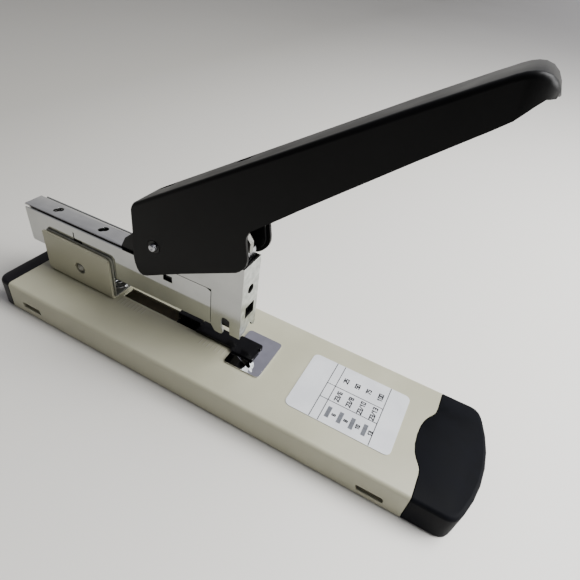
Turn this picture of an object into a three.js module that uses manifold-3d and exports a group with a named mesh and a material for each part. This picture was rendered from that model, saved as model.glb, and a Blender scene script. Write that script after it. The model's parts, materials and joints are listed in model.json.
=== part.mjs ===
// Heavy duty stapler. Millimetres, Z up, X along the base towards the nose, Y across it.
// X is measured from near the rear seam of the base. The whole object is then moved so that
// its origin lies at the centre of the underside.
import * as THREE from "three";
import { mergeVertices } from "three/addons/utils/BufferGeometryUtils.js";
import Module from "manifold-3d";

const wasm = await Module();
wasm.setup();

// Clearances
const gap = 0.3;
const fit = 0.12;
const overrun = 5;

// Base
const base = {
  rear: 0.8,
  seam: 248.7,
  halfWidth: 34.3,
  top: 18.1,
  skirt: 0.8,
  sheet: 1.2,
  bend: 2.2,
};
const sideSlot = {
  length: 12.8,
  height: 3.5,
  slant: -1,
  corner: 0.8,
  rearInset: 9.6,
  rearSill: 4.9,
  frontInset: 9.9,
  frontSill: 3.7,
};
const mat = { thick: 1, inset: 3.3 };
const plate = { thick: 1.2, inset: 4 };
const frontCap = { length: 28.5, noseRadius: 76, corner: 6.5, bulge: 5.6, bulgeHalf: 20.5 };
// Each row is how far the bulge of the seam reaches and a place across it.
const bulgeShares = [
  [0, -1],
  [0.06, -0.88],
  [0.22, -0.78],
  [0.5, -0.66],
  [0.76, -0.5],
  [0.94, -0.28],
  [1, 0],
  [0.94, 0.28],
  [0.76, 0.5],
  [0.5, 0.66],
  [0.22, 0.78],
  [0.06, 0.88],
  [0, 1],
];
const noseShares = [-0.8, -0.55, -0.28, 0, 0.28, 0.55, 0.8];
const rearCap = { rear: -9.2, corner: 6.5 };
const cap = { edge: 2, wall: 2, tongueReach: 11, tongueHalf: 25, tongueThick: 2 };

const anvil = {
  rear: 137.9,
  front: 159.2,
  halfWidth: 14.2,
  thick: 0.9,
  corner: 2,
  grooveInset: 2,
  grooveWidth: 1.6,
  grooveDepth: 0.35,
  grooveLength: 5.8,
  grooveInner: 0.6,
};
const support = { rear: 139.6, front: 165, halfWidth: 20, sheet: 3, bend: 3 };
const label = { frontInset: 14.5, length: 56.5, halfWidth: 20, thick: 0.3, corner: 3 };

// Hinge brackets, pivot and return spring
const bracket = {
  rear: 8.7,
  front: 58.3,
  halfWidth: 10.6,
  top: 46.6,
  sheet: 1.5,
  bend: 2.5,
  corner: 3,
  rearCorner: 0.6,
  holeRadius: 3.6,
};
const innerBracket = {
  rear: 10.4,
  front: 59.2,
  top: 47.5,
  sheet: 0.8,
  corner: 3,
  rearCorner: 0.6,
};
const rivet = {
  head: 3.2,
  headThick: 1,
  shank: 1.8,
  places: [18, 44.5],
};
const pivot = { x: 35, z: 30.8, radius: 2.25, tilt: THREE.MathUtils.degToRad(0.8) };
const returnSpring = { x: 54.5, radius: 3.9, wire: 1, curls: 4 };

// Paper stop, sliding in the slot of the base
const stop = {
  tailRear: 98,
  tailLeft: -0.5,
  tailTop: 22,
  shoulder: 113,
  front: 136.9,
  halfWidth: 3.4,
  capHalf: 4.7,
  top: 20.2,
  footHalf: 6,
  footThick: 1.7,
  tongueFront: 151,
  tongueHalf: 6.4,
  notch: 1.4,
  notchY: 2,
};
const slot = { halfWidth: 4.1, rear: 60 };

// Magazine arm, drawn level
const casing = {
  rear: -4.5,
  halfWidth: 7.85,
  bottom: 32.3,
  top: 56.3,
  sheet: 0.8,
  bend: 1,
  heelLength: 9,
  heelHeight: 1.8,
  earHalf: 6,
  earDrop: 4.3,
  tabRear: 31.3,
  tabLength: 6.3,
  tabBottom: 46.3,
  tabHeight: 6.6,
  tabSlit: 0.8,
  tabGap: 2.6,
  windowRear: 94.6,
  windowLength: 5.8,
  windowBottom: 48.8,
  windowHeight: 4,
  noseCut: 2.6,
};
const cover = {
  rear: -7,
  halfWidth: 5.95,
  top: 57,
  depth: 10.5,
  sheet: 0.9,
  bend: 0.4,
  relief: 3,
  holeRadius: 1.8,
  holeWide: 2.1,
  holeAhead: 0.6,
  holeAside: 0.9,
  holes: [13.1, 46.9],
  spacers: [5, 56],
  spacerDrop: 6.6,
  spacerRadius: 1.2,
};
const saddle = {
  front: 104,
  length: 38.2,
  halfWidth: 6.5,
  sheet: 1.5,
  top: 76.5,
  bottom: 47.4,
  rivetRadius: 1.5,
  rivetDrop: 1.3,
};
// Places along the saddle, as shares of its length.
const saddleRivetShares = [0.19, 0.58];
// Each row is a place along the saddle and a height in it.
const saddleShares = [
  [0, 0],
  [1, 0],
  [1, 0.72],
  [0.86, 1],
  [0.42, 1],
  [0.24, 0.75],
  [0.08, 0.557],
  [0, 0.353],
];
const head = { rear: 124.8, front: 142.8, top: 76.7, lobe: 29, sheet: 1, corner: 1.4 };
// Each row is a place along the cheek and a height in it.
const cheekShares = [
  [1, 1],
  [1, 0.042],
  [0.667, 0.046],
  [0.645, 0.105],
  [0.633, 0.237],
  [0.528, 0.26],
  [0.419, 0.26],
  [0.361, 0.226],
  [0.361, 0.11],
  [0.42, 0.08],
  [0.425, 0.035],
  [0.39, 0.008],
  [0.289, 0],
  [0.144, 0.008],
  [0.033, 0.07],
  [0, 0.09],
  [0, 1],
];
const wing = { rearReach: 9, bottomGap: 0.3, corner: 6 };
const plateHole = { radius: 2.6, height: 60.6 };
const window = { left: -3.6, width: 8.3, bottom: 42.6, height: 7.4 };
// Each row is a place across the head's front and a height above its foot.
const apronShares = [
  [0.073, -0.2],
  [0.073, 0.26],
  [0.27, 0.26],
  [0.576, 0.85],
  [0.64, 1],
  [0.78, 0.58],
  [0.8, 0.26],
  [0.927, 0.26],
  [0.927, -0.2],
];
const apron = { height: 5.2, corner: 1.2 };

const handlePin = { radius: 2, reach: 2 };
const bush = { radius: 3.5 };
const handleSpring = { radius: 3.6, wire: 1, curls: 5 };

// Staple tray and pusher
const strip = { halfWidth: 6.5, wire: 0.65, top: 45.6, legs: 35.6, rear: 88, corner: 0.6 };
const rail = { rear: -3, sheet: 1, bend: 1, plug: 4.5, slotHalf: 1.5, slotInset: 10 };
const endBlock = { rear: -6.6, thick: 3.2, plugDepth: 7, knobRadius: 3.4, knobLength: 2.3 };
const rod = { radius: 1.2, z: 39.4, seat: 3 };
const pusher = { length: 9.5, lift: 0.9, sheet: 0.6, neckHalf: 1.1, innerHalf: 4 };
const pusherSpring = { radius: 2.15, wire: 0.7, curls: 24 };

// Driver, in the head
const driver = {
  x: 139.4,
  thick: 0.9,
  halfWidth: 6.3,
  bottom: 50.5,
  top: 82,
};
const guide = { rear: 128, rise: 1.4, height: 11, halfWidth: 6.55 };
const yoke = {
  rear: 130.5,
  halfWidth: 1.5,
  bottom: 76,
  top: 93,
  play: 0.6,
  slotRear: 132.9,
  slotFront: 139.7,
};
// Each row is a place along the yoke and a height in it.
const yokeShares = [
  [0, 0],
  [1, 0],
  [1, 0.66],
  [0.91, 0.74],
  [0.79, 0.84],
  [0.72, 0.95],
  [0.6, 1],
  [0.1, 1],
  [0, 0.9],
];

// Handle, drawn as it stands at rest
const handle = {
  rear: 78.6,
  bottom: 49.8,
  reach: 153.4,
  rise: 134.2,
  halfWidth: 11.4,
  sheet: 1.5,
  edge: 2,
  nose: 9,
  pivotX: 92.4,
  pivotZ: 71.5,
  holeRadius: 3.8,
  slotLeft: 3.6,
  slotWidth: 4.5,
};
// Each row is a place along the handle's reach and a length, both as shares of it.
const webSlotShares = [
  [0.04, 0.053],
  [0.3135, 0.0425],
];
// Each row is a share of the handle's reach and of its rise.
const handleTopShares = [
  [0.0145, 0.311],
  [0.142, 0.408],
  [0.268, 0.502],
  [0.518, 0.69],
  [0.741, 0.859],
  [0.875, 0.957],
  [0.898, 0.973],
  [0.913, 0.984],
  [0.928, 0.993],
  [0.941, 0.998],
  [0.954, 1],
  [0.969, 0.997],
  [0.982, 0.988],
  [0.992, 0.974],
  [1, 0.955],
];
const handleBottomShares = [
  [0.986, 0.953],
  [0.977, 0.952],
  [0.965, 0.937],
  [0.941, 0.901],
  [0.914, 0.873],
  [0.797, 0.758],
  [0.567, 0.527],
  [0.489, 0.446],
  [0.465, 0.423],
  [0.447, 0.404],
  [0.436, 0.393],
  [0.427, 0.379],
  [0.422, 0.362],
  [0.422, 0.345],
  [0.427, 0.311],
  [0.431, 0.288],
  [0.432, 0.271],
  [0.429, 0.253],
  [0.422, 0.237],
  [0.411, 0.221],
  [0.399, 0.209],
  [0.193, 0.092],
  [0.053, 0.007],
  [0.035, 0],
  [0.02, 0.006],
  [0.011, 0.02],
  [0.004, 0.045],
  [0, 0.08],
  [0.006, 0.19],
  [0.0072, 0.2825],
];
const liner = { sheet: 1.2, front: 150, peek: 0.7, peekBottom: 60, peekHeight: 27, lap: 6 };
const drivePin = { x: 134, z: 88, radius: 1.5 };
// Each row is a place ahead of the drive pin and above it, as a share of the ear's height.
const earShares = [
  [-0.12, 0],
  [-0.085, -0.085],
  [0, -0.12],
  [0.085, -0.085],
  [0.1, 0],
  [0.03, 0.29],
  [0.04, 0.45],
  [0.05, 1.5],
  [-0.4, 1.5],
  [-0.22, 0.6],
];
const ear = { height: 24, sheet: 0.8 };

// Outlines and solids

const corner = new THREE.Vector2();

// Replaces each corner that has a radius, its third number, by an arc.
function rounded(corners) {
  const points = [];
  corners.forEach(([u, v, radius = 0], i) => {
    const [beforeU, beforeV] = corners.at(i - 1);
    const [afterU, afterV] = corners[(i + 1) % corners.length];
    const here = new THREE.Vector2(u, v);
    if (radius <= 0) {
      points.push(here);
      return;
    }
    const back = new THREE.Vector2(beforeU - u, beforeV - v).normalize();
    const ahead = new THREE.Vector2(afterU - u, afterV - v).normalize();
    const half = Math.acos(THREE.MathUtils.clamp(back.dot(ahead), -1, 1)) / 2;
    const reach = radius / Math.tan(half);
    const centre = corner.copy(back).add(ahead).normalize().multiplyScalar(radius / Math.sin(half));
    centre.add(here);
    const start = back.multiplyScalar(reach).add(here).sub(centre);
    const end = ahead.multiplyScalar(reach).add(here).sub(centre);
    const turn = Math.atan2(start.cross(end), start.dot(end));
    const steps = Math.max(2, Math.ceil(Math.abs(turn) / (Math.PI / 8)));
    for (let k = 0; k <= steps; k += 1) {
      const origin = new THREE.Vector2();
      points.push(start.clone().rotateAround(origin, (turn * k) / steps).add(centre));
    }
  });
  return points;
}

function circle(u, v, radius, sides = 24) {
  return Array.from({ length: sides }, (_, k) => {
    const angle = (2 * Math.PI * k) / sides;
    return [u + radius * Math.cos(angle), v + radius * Math.sin(angle)];
  });
}

function box(u1, u2, v1, v2, radius = 0) {
  return [
    [u1, v1, radius],
    [u2, v1, radius],
    [u2, v2, radius],
    [u1, v2, radius],
  ];
}

// Rows of shares, measured from a corner over a length and a height.
function spread(rows, u, v, length, height) {
  return rows.map(([shareU, shareV]) => [u + shareU * length, v + shareV * height]);
}

// Moves every point of a clockwise line inwards by one distance.
function inset(line, distance, closed) {
  const count = line.length;
  return line.map((point, i) => {
    const before = closed ? line.at(i - 1) : line[Math.max(i - 1, 0)];
    const after = closed ? line[(i + 1) % count] : line[Math.min(i + 1, count - 1)];
    const first = new THREE.Vector2(point[1] - before[1], before[0] - point[0]).normalize();
    const second = new THREE.Vector2(after[1] - point[1], point[0] - after[0]).normalize();
    const normal = first.clone().add(second).normalize();
    const edge = first.lengthSq() > 0 ? first : second;
    const move = distance / normal.dot(edge);
    return [point[0] + normal.x * move, point[1] + normal.y * move];
  });
}

function solid(geometry) {
  for (const name of Object.keys(geometry.attributes)) {
    if (name !== "position") geometry.deleteAttribute(name);
  }
  const merged = mergeVertices(geometry);
  return new wasm.Manifold(
    new wasm.Mesh({
      numProp: 3,
      vertProperties: Float32Array.from(merged.attributes.position.array),
      triVerts: Uint32Array.from(merged.index.array),
    }),
  );
}

const alongX = new THREE.Vector3(1, 0, 0);
const alongY = new THREE.Vector3(0, 1, 0);
const alongZ = new THREE.Vector3(0, 0, 1);
const turns = {
  x: new THREE.Matrix4().makeBasis(alongY, alongZ, alongX),
  y: new THREE.Matrix4().makeBasis(alongX, alongZ, alongY.clone().negate()),
  z: new THREE.Matrix4(),
};

// An outline drawn in the two other axes, in their order, and drawn out along this one.
// An edge radius rounds its rim at both ends.
function prism(axis, corners, from, to, edge = 0) {
  const geometry = new THREE.ExtrudeGeometry(new THREE.Shape(rounded(corners)), {
    depth: to - from - 2 * edge,
    bevelEnabled: edge > 0,
    bevelThickness: edge,
    bevelSize: edge,
    bevelOffset: -edge,
    bevelSegments: 3,
  });
  geometry.translate(0, 0, (axis === "y" ? -to : from) + edge);
  geometry.applyMatrix4(turns[axis]);
  return solid(geometry);
}

function block(x1, x2, y1, y2, z1, z2) {
  return prism("z", box(x1, x2, y1, y2), z1, z2);
}

function join(...bodies) {
  return bodies.reduce((whole, body) => whole.add(body));
}

function cut(body, ...tools) {
  return tools.reduce((rest, tool) => rest.subtract(tool), body);
}

// A bent channel along X: its web at one height, its lips at the other.
function channel(halfWidth, web, lip, sheet, bend, from, to) {
  const inner = web + Math.sign(lip - web) * sheet;
  const innerBend = Math.max(bend - sheet, 0);
  const innerHalf = halfWidth - sheet;
  const section = [
    [-halfWidth, lip],
    [-halfWidth, web, bend],
    [halfWidth, web, bend],
    [halfWidth, lip],
    [innerHalf, lip],
    [innerHalf, inner, innerBend],
    [-innerHalf, inner, innerBend],
    [-innerHalf, lip],
  ];
  return prism("x", section, from, to);
}

// A round piece about Z, from rows of radius and height that start and end on the axis.
function turned(profile, sides = 24) {
  const points = profile.map(([radius, height]) => new THREE.Vector2(radius, height));
  return solid(new THREE.LatheGeometry(points, sides).rotateX(Math.PI / 2));
}

// The centre line of a coil along Z, with straight ends one wire long.
const stepsPerCurl = 8;
function coilLine({ radius, wire, curls }, length) {
  const rise = length - 2 * wire;
  const steps = curls * stepsPerCurl;
  const line = [new THREE.Vector3(radius, 0, 0)];
  for (let i = 0; i <= steps; i += 1) {
    const angle = (2 * Math.PI * i) / stepsPerCurl;
    const height = wire + (rise * i) / steps;
    line.push(new THREE.Vector3(radius * Math.cos(angle), radius * Math.sin(angle), height));
  }
  line.push(new THREE.Vector3(radius, 0, length));
  return line;
}

function tube(line, radius, sides = 5) {
  const positions = [];
  const index = [];
  const normal = new THREE.Vector3(1, 0, 0);
  line.forEach((point, i) => {
    const before = line[Math.max(i - 1, 0)];
    const after = line[Math.min(i + 1, line.length - 1)];
    const tangent = point.clone().sub(before).normalize();
    tangent.add(after.clone().sub(point).normalize()).normalize();
    normal.addScaledVector(tangent, -normal.dot(tangent)).normalize();
    const side = tangent.clone().cross(normal);
    for (let k = 0; k < sides; k += 1) {
      const angle = (2 * Math.PI * k) / sides;
      const rim = point.clone().addScaledVector(normal, radius * Math.cos(angle));
      positions.push(...rim.addScaledVector(side, radius * Math.sin(angle)));
    }
    if (i === 0) return;
    const ring = i * sides;
    for (let k = 0; k < sides; k += 1) {
      const next = (k + 1) % sides;
      const [a, b] = [ring - sides + k, ring - sides + next];
      index.push(a, b, ring + next, a, ring + next, ring + k);
    }
  });
  const last = (line.length - 1) * sides;
  for (let k = 1; k < sides - 1; k += 1) {
    index.push(0, k + 1, k, last, last + k, last + k + 1);
  }
  const geometry = new THREE.BufferGeometry();
  geometry.setAttribute("position", new THREE.Float32BufferAttribute(positions, 3));
  geometry.setIndex(index);
  return solid(geometry);
}

// The least gap from one turn of a coil to the next, measured on its points.
function selfGap(line, wire) {
  let least = Infinity;
  for (let i = 0; i < line.length; i += 1) {
    for (let j = i + stepsPerCurl / 2; j < line.length; j += 1) {
      least = Math.min(least, line[i].distanceTo(line[j]) - wire);
    }
  }
  return least;
}

function coil(name, spring, length) {
  const line = coilLine(spring, length);
  console.log(name, "least gap to itself", selfGap(line, spring.wire).toFixed(2), "mm");
  return tube(line, spring.wire / 2);
}

// Places worked out from the sizes above

// A point of the standing object, as it lies in the level arm.
function intoArm(x, z) {
  const across = x - pivot.x;
  const up = z - pivot.z;
  return {
    x: pivot.x + across * Math.cos(pivot.tilt) + up * Math.sin(pivot.tilt),
    z: pivot.z - across * Math.sin(pivot.tilt) + up * Math.cos(pivot.tilt),
  };
}

const noseFront = base.seam + frontCap.length;
const underTop = base.top - base.sheet;
const plateTop = mat.thick + plate.thick;
const bracketFloor = base.top + bracket.sheet;
const innerFloor = bracketFloor + innerBracket.sheet;
const innerHalf = bracket.halfWidth - bracket.sheet - gap;
const casingInner = casing.halfWidth - casing.sheet;
const casingFront = head.rear - gap;
const webTop = casing.bottom + casing.sheet;
const hinge = intoArm(handle.pivotX, handle.pivotZ);
const link = intoArm(drivePin.x, drivePin.z);
const stripInner = strip.halfWidth - strip.wire;
const railHalf = stripInner - gap - strip.wire / 10;
const railTop = strip.top - strip.wire - gap;
const railLip = webTop + gap;
const railFront = driver.x - 2 * gap;
const cheekInner = casing.halfWidth - head.sheet;
const plateInner = handle.halfWidth - handle.sheet;
const pinHoleRadius = handlePin.radius + fit;

// Base pieces

function sideSlotAt(x, z) {
  const corners = [
    [x, z, sideSlot.corner],
    [x + sideSlot.length - sideSlot.slant, z, sideSlot.corner],
    [x + sideSlot.length, z + sideSlot.height, sideSlot.corner],
    [x + sideSlot.slant, z + sideSlot.height, sideSlot.corner],
  ];
  return prism("y", corners, -base.halfWidth - overrun, base.halfWidth + overrun);
}

// The bulge of the front cap's seam, closed inside the cap.
function bulgeTab(grow, from, to) {
  const { bulge, bulgeHalf } = frontCap;
  const half = bulgeHalf + grow;
  const wave = spread(bulgeShares, base.seam + gap - grow, 0, -bulge - gap, half);
  const inside = base.seam + overrun;
  return prism("z", [[inside, -half], ...wave, [inside, half]], from, to);
}

function rivetHole(x, radius) {
  return prism("z", circle(x, 0, radius), underTop - overrun, innerFloor + overrun);
}

function baseShell() {
  const shell = channel(base.halfWidth, base.top, base.skirt, base.sheet, base.bend,
    base.rear, base.seam);
  const stopSlot = block(slot.rear, anvil.rear - 2 * gap, -slot.halfWidth, slot.halfWidth,
    underTop - overrun, base.top + overrun);
  return cut(
    shell,
    bulgeTab(gap, underTop - overrun, base.top + overrun),
    stopSlot,
    sideSlotAt(base.rear + sideSlot.rearInset, sideSlot.rearSill),
    sideSlotAt(base.seam - sideSlot.frontInset - sideSlot.length, sideSlot.frontSill),
    ...rivet.places.map((x) => rivetHole(x, rivet.shank + fit)),
  );
}

function basePlate() {
  const half = base.halfWidth - base.sheet - gap;
  return block(base.rear + plate.inset, base.seam - plate.inset, -half, half,
    mat.thick, plateTop);
}

function rubberMat() {
  const half = base.halfWidth - mat.inset;
  const corners = box(base.rear + plate.inset, base.seam - plate.inset, -half, half, mat.inset);
  return prism("z", corners, 0, mat.thick);
}

function tongueBlock(x1, x2) {
  const top = underTop - gap;
  return block(x1, x2, -cap.tongueHalf, cap.tongueHalf, top - cap.tongueThick, top);
}

// The nose of the front cap, a shallow arc between two round corners.
function nosePlan(rear, inward) {
  const radius = frontCap.noseRadius - inward;
  const half = base.halfWidth - inward;
  const centre = noseFront - frontCap.noseRadius;
  const shoulder = centre + Math.sqrt(radius ** 2 - half ** 2);
  const arc = noseShares.map((share) => {
    const y = share * half;
    return [centre + Math.sqrt(radius ** 2 - y ** 2), y];
  });
  const bend = frontCap.corner - inward;
  return [[rear, -half], [shoulder, -half, bend], ...arc, [shoulder, half, bend], [rear, half]];
}

function frontCapBody() {
  const seam = base.seam + gap;
  const low = base.skirt - overrun;
  const whole = prism("z", nosePlan(seam - overrun, 0), low, base.top, cap.edge);
  const keep = block(seam, noseFront + overrun, -base.halfWidth - overrun,
    base.halfWidth + overrun, base.skirt, base.top + overrun);
  const cavity = prism("z", nosePlan(seam - overrun, cap.wall), low, base.top - cap.wall);
  return join(
    cut(whole.intersect(keep), cavity),
    bulgeTab(0, base.top - cap.wall, base.top),
    tongueBlock(base.seam - frontCap.bulge - cap.tongueReach, base.seam + cap.tongueReach),
  );
}

function rearPlan(front, inward) {
  const half = base.halfWidth - inward;
  const bend = rearCap.corner - inward;
  const rear = rearCap.rear + inward;
  return [[rear, -half, bend], [front, -half], [front, half], [rear, half, bend]];
}

function rearCapBody() {
  const seam = base.rear - gap;
  const low = base.skirt - overrun;
  const whole = prism("z", rearPlan(seam + overrun, 0), low, base.top, cap.edge);
  const keep = block(rearCap.rear - overrun, seam, -base.halfWidth - overrun,
    base.halfWidth + overrun, base.skirt, base.top + overrun);
  const cavity = prism("z", rearPlan(seam + overrun, cap.wall), low, base.top - cap.wall);
  return join(
    cut(whole.intersect(keep), cavity),
    tongueBlock(rearCap.rear + cap.wall / 2, base.rear + cap.tongueReach / 2),
  );
}

function anvilPlate() {
  const top = base.top + anvil.thick;
  const whole = prism("z",
    box(anvil.rear, anvil.front, -anvil.halfWidth, anvil.halfWidth, anvil.corner),
    base.top, top);
  const grooves = [-1, 1].map((side) => {
    const x = anvil.rear + anvil.grooveInset;
    const near = side * anvil.grooveInner;
    const far = side * (anvil.grooveInner + anvil.grooveLength);
    const corners = box(x - anvil.grooveWidth / 2, x + anvil.grooveWidth / 2,
      Math.min(near, far), Math.max(near, far), anvil.grooveWidth / 3);
    return prism("z", corners, top - anvil.grooveDepth, top + overrun);
  });
  return cut(whole, ...grooves);
}

function anvilSupport() {
  return channel(support.halfWidth, underTop, plateTop, support.sheet, support.bend,
    support.rear, support.front);
}

function labelPlate() {
  const front = base.seam - label.frontInset;
  const corners = box(front - label.length, front, -label.halfWidth, label.halfWidth,
    label.corner);
  return prism("z", corners, base.top, base.top + label.thick);
}

function hingeBracket(halfWidth, floor, size, bend) {
  const { rear, front, top, sheet, corner: round, rearCorner } = size;
  const whole = channel(halfWidth, floor, top, sheet, bend, rear, front);
  const side = [
    [rear, floor],
    [front, floor],
    [front, top, round],
    [rear, top, rearCorner],
  ];
  return whole.intersect(prism("y", side, -halfWidth, halfWidth));
}

function pivotHole(radius, x = pivot.x, z = pivot.z, half = base.halfWidth) {
  return prism("y", circle(x, z, radius, 32), -half, half);
}

function outerBracket() {
  return cut(
    hingeBracket(bracket.halfWidth, base.top, bracket, bracket.bend),
    pivotHole(bracket.holeRadius),
    ...rivet.places.map((x) => rivetHole(x, rivet.shank + fit)),
  );
}

function innerBracketBody() {
  return cut(
    hingeBracket(innerHalf, bracketFloor, innerBracket, bracket.bend - bracket.sheet),
    pivotHole(pivot.radius + fit),
    ...rivet.places.map((x) => rivetHole(x, rivet.shank + fit)),
  );
}

function bracketRivet() {
  const { head: wide, headThick, shank } = rivet;
  return turned([
    [0, underTop - headThick],
    [wide, underTop - headThick],
    [wide, underTop],
    [shank, underTop],
    [shank, innerFloor],
    [wide, innerFloor],
    [wide * 0.8, innerFloor + headThick],
    [0, innerFloor + headThick],
  ]);
}

function pivotPin() {
  const half = bracket.halfWidth - gap;
  return prism("y", circle(pivot.x, pivot.z, pivot.radius), -half, half);
}

// From the floor of the brackets to the underside of the arm where the spring stands.
function returnSpringLength() {
  const lift = (returnSpring.x - pivot.x - returnSpring.radius) * Math.sin(pivot.tilt);
  const underside = pivot.z + (casing.bottom - pivot.z) * Math.cos(pivot.tilt) + lift;
  return underside - innerFloor - 2 * gap;
}

function paperStop() {
  const low = underTop - gap - stop.footThick;
  const foot = block(stop.tailRear, stop.front, -stop.footHalf, stop.footHalf,
    low, underTop - gap);
  const body = join(
    block(stop.shoulder, stop.front, -stop.halfWidth, stop.halfWidth, low, stop.top),
    block(stop.shoulder, stop.front, -stop.capHalf, stop.capHalf, base.top + gap, stop.top),
  );
  const tail = block(stop.tailRear, stop.shoulder, stop.tailLeft, stop.halfWidth,
    low, stop.tailTop);
  const under = base.top + anvil.thick + gap;
  const tongue = prism("z",
    box(stop.front - gap, stop.tongueFront, -stop.tongueHalf, stop.tongueHalf, stop.notch),
    under, stop.top);
  const notch = block(stop.tongueFront - stop.notch, stop.tongueFront + overrun,
    stop.notchY - stop.notch / 2, stop.notchY + stop.notch / 2, under - overrun, stop.tailTop);
  const bridge = block(stop.front - stop.notch, stop.front + stop.notch, -stop.halfWidth,
    stop.halfWidth, under, stop.top);
  return cut(join(foot, body, tail, tongue, bridge), notch);
}

// Arm pieces

function magazineCasing() {
  const { rear, halfWidth, bottom, top, sheet, bend } = casing;
  const whole = channel(halfWidth, bottom, top, sheet, bend, rear, casingFront);
  const side = [
    [rear, top],
    [rear, bottom + casing.heelHeight, casing.bend],
    [rear + casing.heelLength, bottom + casing.heelHeight],
    [rear + casing.heelLength + casing.heelHeight, bottom],
    [casingFront, bottom],
    [casingFront, top - casing.noseCut / 2],
    [casingFront - casing.noseCut, top],
  ];
  const earLow = bottom - casing.earDrop;
  const ears = cut(
    prism("y", [
      [pivot.x - casing.earHalf, bottom + bend + sheet],
      [pivot.x - casing.earHalf, earLow, casing.earDrop],
      [pivot.x + casing.earHalf, earLow, casing.earDrop],
      [pivot.x + casing.earHalf, bottom + bend + sheet],
    ], -halfWidth, halfWidth),
    block(pivot.x - casing.earHalf - overrun, pivot.x + casing.earHalf + overrun,
      -casingInner, casingInner, earLow - overrun, top),
  );
  const tabTop = casing.tabBottom + casing.tabHeight;
  const tabFront = casing.tabRear + casing.tabLength;
  const tab = join(
    block(casing.tabRear, casing.tabRear + casing.tabSlit, -halfWidth - overrun,
      -casingInner + gap, casing.tabBottom, tabTop),
    block(casing.tabRear, tabFront, -halfWidth - overrun, -casingInner + gap,
      casing.tabBottom, casing.tabBottom + casing.tabGap),
  );
  const gate = block(casing.windowRear, casing.windowRear + casing.windowLength,
    -halfWidth - overrun, halfWidth + overrun, casing.windowBottom,
    casing.windowBottom + casing.windowHeight);
  return cut(
    join(whole.intersect(prism("y", side, -halfWidth, halfWidth)), ears),
    pivotHole(pivot.radius + gap),
    tab,
    gate,
  );
}

const spacerHeight = cover.top - cover.spacerDrop;
const saddleRear = saddle.front - saddle.length;
const saddleRivets = saddleRivetShares.map((share) => saddleRear + share * saddle.length);
const saddleRivetHeight = casing.top - casing.windowHeight - saddle.rivetDrop / 2;

function topCover() {
  const whole = channel(cover.halfWidth, cover.top, cover.top - cover.depth, cover.sheet,
    cover.bend, cover.rear, saddleRear - gap);
  const pair = [[-1, cover.holeRadius], [1, cover.holeWide]];
  const holes = cover.holes.flatMap((x) => pair.map(([side, radius]) => prism("z",
    circle(x + side * cover.holeAhead, side * cover.holeAside, radius),
    cover.top - overrun, cover.top + overrun)));
  const relief = block(cover.rear - overrun, cover.rear + cover.relief, -casing.halfWidth,
    casing.halfWidth, cover.top - cover.depth - overrun, cover.top - cover.sheet);
  const spacerHoles = cover.spacers.map((x) =>
    pivotHole(cover.spacerRadius + fit, x, spacerHeight, casing.halfWidth));
  return cut(whole, relief, ...holes, ...spacerHoles);
}

function crossRod(x, z, radius) {
  const half = casingInner - fit;
  return prism("y", circle(x, z, radius, 16), -half, half);
}

function saddleBody() {
  const { length, halfWidth, sheet, top, bottom } = saddle;
  const outline = spread(saddleShares, saddleRear, bottom, length, top - bottom);
  const inside = spread(saddleShares, saddleRear + sheet, bottom - sheet, length - 2 * sheet,
    top - bottom);
  const whole = prism("y", outline, -halfWidth, halfWidth, sheet / 2);
  const trim = block(saddleRear - overrun, saddle.front + overrun, -halfWidth, halfWidth,
    bottom + sheet / 2, top + overrun);
  const hollow = prism("y", inside, sheet - halfWidth, halfWidth - sheet);
  return cut(
    whole.intersect(trim),
    hollow,
    pivotHole(pinHoleRadius, hinge.x, hinge.z, casing.halfWidth),
    ...saddleRivets.map((x) =>
      pivotHole(saddle.rivetRadius + fit, x, saddleRivetHeight, casing.halfWidth)),
  );
}

function headFrame() {
  const { rear, front, top, lobe, sheet } = head;
  const half = casing.halfWidth;
  const cheek = prism("y", spread(cheekShares, rear, lobe, front - rear, top - lobe), -half, half);
  const wingBottom = casing.top + wing.bottomGap;
  const wings = prism("y",
    box(hinge.x - wing.rearReach, rear + overrun, wingBottom, top, wing.corner), -half, half);
  const wingSquare = block(rear - overrun, rear + overrun, -half, half, wingBottom, top);
  const inner = block(hinge.x - wing.rearReach - overrun, front - sheet,
    -cheekInner, cheekInner, lobe - overrun, top + overrun);
  const foot = spread([cheekShares[1]], rear, lobe, front - rear, top - lobe)[0][1];
  const apronNotch = prism("x", spread(apronShares, -half, foot, 2 * half, apron.height),
    front - sheet - overrun, front + overrun);
  const farCorner = prism("x", [
    [half - apron.corner, foot - overrun],
    [half + overrun, foot - overrun],
    [half + overrun, foot + apron.corner + overrun],
    [half - apron.corner, foot],
  ], front - 2 * sheet, front + overrun);
  return cut(
    join(cheek, wings, wingSquare),
    inner,
    apronNotch,
    farCorner,
    prism("x", circle(0, plateHole.height, plateHole.radius), front - overrun, front + overrun),
    block(front - sheet - overrun, front + overrun, window.left, window.left + window.width,
      window.bottom, window.bottom + window.height),
    pivotHole(pinHoleRadius, hinge.x, hinge.z, half + overrun),
  );
}

function handlePinBody() {
  const half = handle.halfWidth + handlePin.reach;
  return prism("y", circle(hinge.x, hinge.z, handlePin.radius), -half, half);
}

function bushBody(side) {
  const near = casing.halfWidth + gap;
  const far = handle.halfWidth + fit;
  const [from, to] = side < 0 ? [-far, -near] : [near, far];
  return cut(
    prism("y", circle(hinge.x, hinge.z, bush.radius), from, to),
    pivotHole(pinHoleRadius, hinge.x, hinge.z, far + overrun),
  );
}

function driverGuide() {
  const low = strip.top + guide.rise;
  return block(guide.rear, driver.x - gap, -guide.halfWidth, guide.halfWidth,
    low, low + guide.height);
}

// Tray and pusher

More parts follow.
